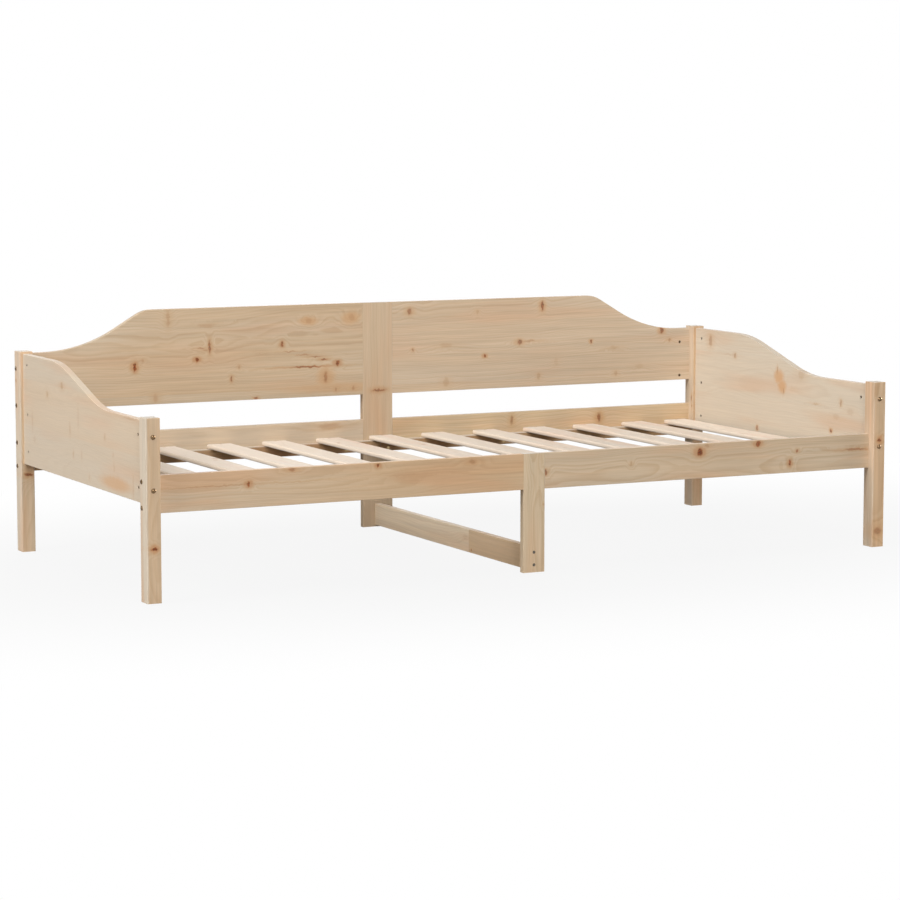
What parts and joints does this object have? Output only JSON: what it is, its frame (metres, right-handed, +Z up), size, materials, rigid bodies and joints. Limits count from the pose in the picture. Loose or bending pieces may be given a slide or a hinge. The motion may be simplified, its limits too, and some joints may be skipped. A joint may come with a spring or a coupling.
{
  "type": "single daybed frame",
  "caption": "Knock-down pine daybed frame with swept end panels, a raised back with sloping shoulders, a slatted deck between low rails and a floor stretcher under the middle.",
  "frame": {"origin": "on the floor, under the middle of the whole frame", "axes": "+X along the bed towards its right end as seen from the front, +Y from the open front to the back, +Z up"},
  "size_m": [2.0816, 0.9676, 0.623],
  "materials": {
    "pine_posts": "bare sanded pine",
    "pine_uprights": "bare sanded pine",
    "pine_panels": "bare sanded pine",
    "pine_rails": "bare sanded pine",
    "pine_battens": "bare sanded pine",
    "pine_slats": "bare sanded pine",
    "pine_stretcher": "bare sanded pine",
    "beech_dowels": "fluted hardwood, left bare",
    "steel_bolts": "dull bronze plating",
    "steel_nuts": "bright zinc plating",
    "steel_screws": "bright zinc plating"
  },
  "bodies": {
    "root": {"back_panel_left": "pine_panels", "back_panel_right": "pine_panels", "back_rail_left": "pine_rails", "back_rail_right": "pine_rails", "barrel_nuts_crosswise": "steel_nuts", "barrel_nuts_lengthwise": "steel_nuts", "batten_screws": "steel_screws", "centre_dowels": "beech_dowels", "end_panel_left": "pine_panels", "end_panel_right": "pine_panels", "floor_stretcher": "pine_stretcher", "front_rail_left": "pine_rails", "front_rail_right": "pine_rails", "leg_front_centre": "pine_uprights", "post_bolts_crosswise": "steel_bolts", "post_bolts_lengthwise": "steel_bolts", "post_front_left": "pine_posts", "post_front_right": "pine_posts", "post_rear_centre": "pine_uprights", "post_rear_left": "pine_posts", "post_rear_right": "pine_posts", "slat_01": "pine_slats", "slat_02": "pine_slats", "slat_03": "pine_slats", "slat_04": "pine_slats", "slat_05": "pine_slats", "slat_06": "pine_slats", "slat_07": "pine_slats", "slat_08": "pine_slats", "slat_09": "pine_slats", "slat_10": "pine_slats", "slat_11": "pine_slats", "slat_12": "pine_slats", "slat_13": "pine_slats", "slat_batten_front_left": "pine_battens", "slat_batten_front_right": "pine_battens", "slat_batten_rear_left": "pine_battens", "slat_batten_rear_right": "pine_battens", "slat_screws": "steel_screws", "stretcher_screws_front": "steel_screws", "stretcher_screws_rear": "steel_screws"}
  },
  "joints": []
}
